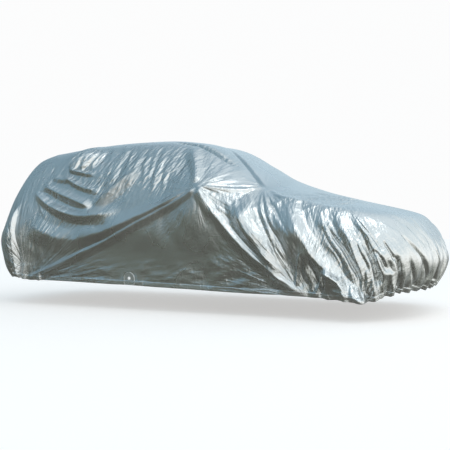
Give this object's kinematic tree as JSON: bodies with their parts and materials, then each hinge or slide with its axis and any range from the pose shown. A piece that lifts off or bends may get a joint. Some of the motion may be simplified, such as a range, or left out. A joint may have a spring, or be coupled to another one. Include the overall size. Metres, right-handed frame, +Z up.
{
  "type": "fitted car cover",
  "caption": "Fitted silver film cover, draped over a hatchback, with a gathered hem and a tie eyelet in each side.",
  "frame": {"origin": "where the car's roof carries the cover: just under the cloth at its highest point, on the centre line", "axes": "+X towards the car's nose, +Z up, +Y to the car's left; the side seen in the picture is -Y"},
  "size_m": [4.4412, 1.9462, 1.4299],
  "materials": {
    "cloth": "silver coated film, satin metallic, crinkled",
    "patch": "doubled silver film, sewn on",
    "ring": "pale moulded plastic"
  },
  "bodies": {
    "root": {"cover_cloth": "cloth", "eyelet_patch_near": "patch", "eyelet_patch_far": "patch", "eyelet_ring_near": "ring", "eyelet_ring_far": "ring"}
  },
  "joints": []
}
